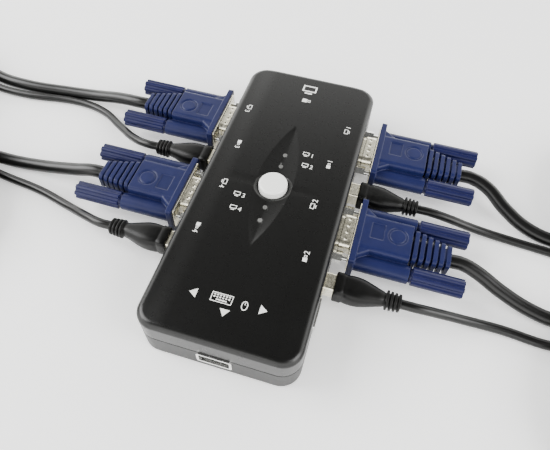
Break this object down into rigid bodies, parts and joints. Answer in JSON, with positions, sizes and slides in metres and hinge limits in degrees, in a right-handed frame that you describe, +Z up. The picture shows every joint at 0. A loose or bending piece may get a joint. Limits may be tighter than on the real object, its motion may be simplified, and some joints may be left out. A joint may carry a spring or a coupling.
{
  "type": "kvm switch",
  "caption": "Flat black box with a round push button on top, USB and monitor sockets on all sides, with its cable sets plugged in.",
  "frame": {"origin": "bottom centre of the box, on the surface under its feet, measured without the cable sets", "axes": "+X right across the box, +Y along its length away from the front console socket, +Z up"},
  "size_m": [0.5257, 0.1924, 0.0359],
  "materials": {
    "board_green": "solder mask over fibreglass",
    "button_white": "polished white",
    "capacitor": "sleeved can",
    "case_plastic": "satin black moulded ABS",
    "chip_black": "moulded epoxy",
    "cord_black": "glossy PVC jacket",
    "feet_rubber": "matt",
    "insulator_black": "moulded insulator",
    "insulator_blue": "moulded insulator",
    "insulator_white": "moulded insulator",
    "led_lens": "tinted epoxy",
    "nickel": "nickel plated",
    "plug_black": "moulded black PVC",
    "plug_blue": "moulded indigo PVC",
    "screw_steel": "zinc plated",
    "switch_peg": "moulded nylon"
  },
  "bodies": {
    "root": {"top_cover": "case_plastic", "bottom_cover": "case_plastic", "case_screws": "screw_steel", "rubber_feet": "feet_rubber", "circuit_board": "board_green", "logic_chips": "chip_black", "board_capacitors": "capacitor", "tact_switch": "chip_black", "indicator_leds": "led_lens", "pc_vga_shells": "nickel", "pc_vga_inserts": "insulator_blue", "pc_usb_shells": "nickel", "pc_usb_inserts": "insulator_black", "monitor_socket_shell": "nickel", "monitor_socket_insert": "insulator_blue", "jack_nuts": "nickel", "console_usb_front": "nickel", "console_usb_left": "nickel", "console_usb_right": "nickel", "console_usb_tongues": "insulator_white", "vga_plug_1": "plug_blue", "vga_plug_2": "plug_blue", "vga_plug_3": "plug_blue", "vga_plug_4": "plug_blue", "vga_plug_shells": "nickel", "usb_plug_1": "plug_black", "usb_plug_2": "plug_black", "usb_plug_3": "plug_black", "usb_plug_4": "plug_black", "usb_plug_shells": "nickel", "vga_cord_1": "cord_black", "vga_cord_2": "cord_black", "vga_cord_3": "cord_black", "vga_cord_4": "cord_black", "usb_cord_1": "cord_black", "usb_cord_2": "cord_black", "usb_cord_3": "cord_black", "usb_cord_4": "cord_black", "cable_coil_1": "cord_black", "cable_coil_2": "cord_black", "cable_coil_3": "cord_black", "cable_coil_4": "cord_black", "pc_end_vga_plugs": "plug_blue", "pc_end_vga_shells": "nickel", "pc_end_thumbscrews": "plug_blue", "pc_end_usb_plugs": "plug_black", "pc_end_usb_shells": "nickel"},
    "button": {"push_button": "button_white", "switch_plunger": "switch_peg"},
    "thumbscrew_1a": {"thumbscrew_1a": "plug_blue"},
    "thumbscrew_1b": {"thumbscrew_1b": "plug_blue"},
    "thumbscrew_2a": {"thumbscrew_2a": "plug_blue"},
    "thumbscrew_2b": {"thumbscrew_2b": "plug_blue"},
    "thumbscrew_3a": {"thumbscrew_3a": "plug_blue"},
    "thumbscrew_3b": {"thumbscrew_3b": "plug_blue"},
    "thumbscrew_4a": {"thumbscrew_4a": "plug_blue"},
    "thumbscrew_4b": {"thumbscrew_4b": "plug_blue"}
  },
  "joints": [
    {"name": "button_press", "type": "slide", "parent": "root", "child": "button", "axis": [0, 0, -1], "range_m": [0, 0.001], "stiffness_N_per_m": 1200},
    {"name": "thumbscrew_1a_turn", "type": "hinge", "parent": "root", "child": "thumbscrew_1a", "pos_m": [0.07, 0.0547, 0.0108], "axis": [1, 0, 0], "continuous": true},
    {"name": "thumbscrew_1b_turn", "type": "hinge", "parent": "root", "child": "thumbscrew_1b", "pos_m": [0.07, 0.0297, 0.0108], "axis": [1, 0, 0], "continuous": true},
    {"name": "thumbscrew_2a_turn", "type": "hinge", "parent": "root", "child": "thumbscrew_2a", "pos_m": [0.07, 0.004, 0.0108], "axis": [1, 0, 0], "continuous": true},
    {"name": "thumbscrew_2b_turn", "type": "hinge", "parent": "root", "child": "thumbscrew_2b", "pos_m": [0.07, -0.021, 0.0108], "axis": [1, 0, 0], "continuous": true},
    {"name": "thumbscrew_3a_turn", "type": "hinge", "parent": "root", "child": "thumbscrew_3a", "pos_m": [-0.07, 0.0547, 0.0108], "axis": [-1, 0, 0], "continuous": true},
    {"name": "thumbscrew_3b_turn", "type": "hinge", "parent": "root", "child": "thumbscrew_3b", "pos_m": [-0.07, 0.0297, 0.0108], "axis": [-1, 0, 0], "continuous": true},
    {"name": "thumbscrew_4a_turn", "type": "hinge", "parent": "root", "child": "thumbscrew_4a", "pos_m": [-0.07, 0.004, 0.0108], "axis": [-1, 0, 0], "continuous": true},
    {"name": "thumbscrew_4b_turn", "type": "hinge", "parent": "root", "child": "thumbscrew_4b", "pos_m": [-0.07, -0.021, 0.0108], "axis": [-1, 0, 0], "continuous": true}
  ]
}
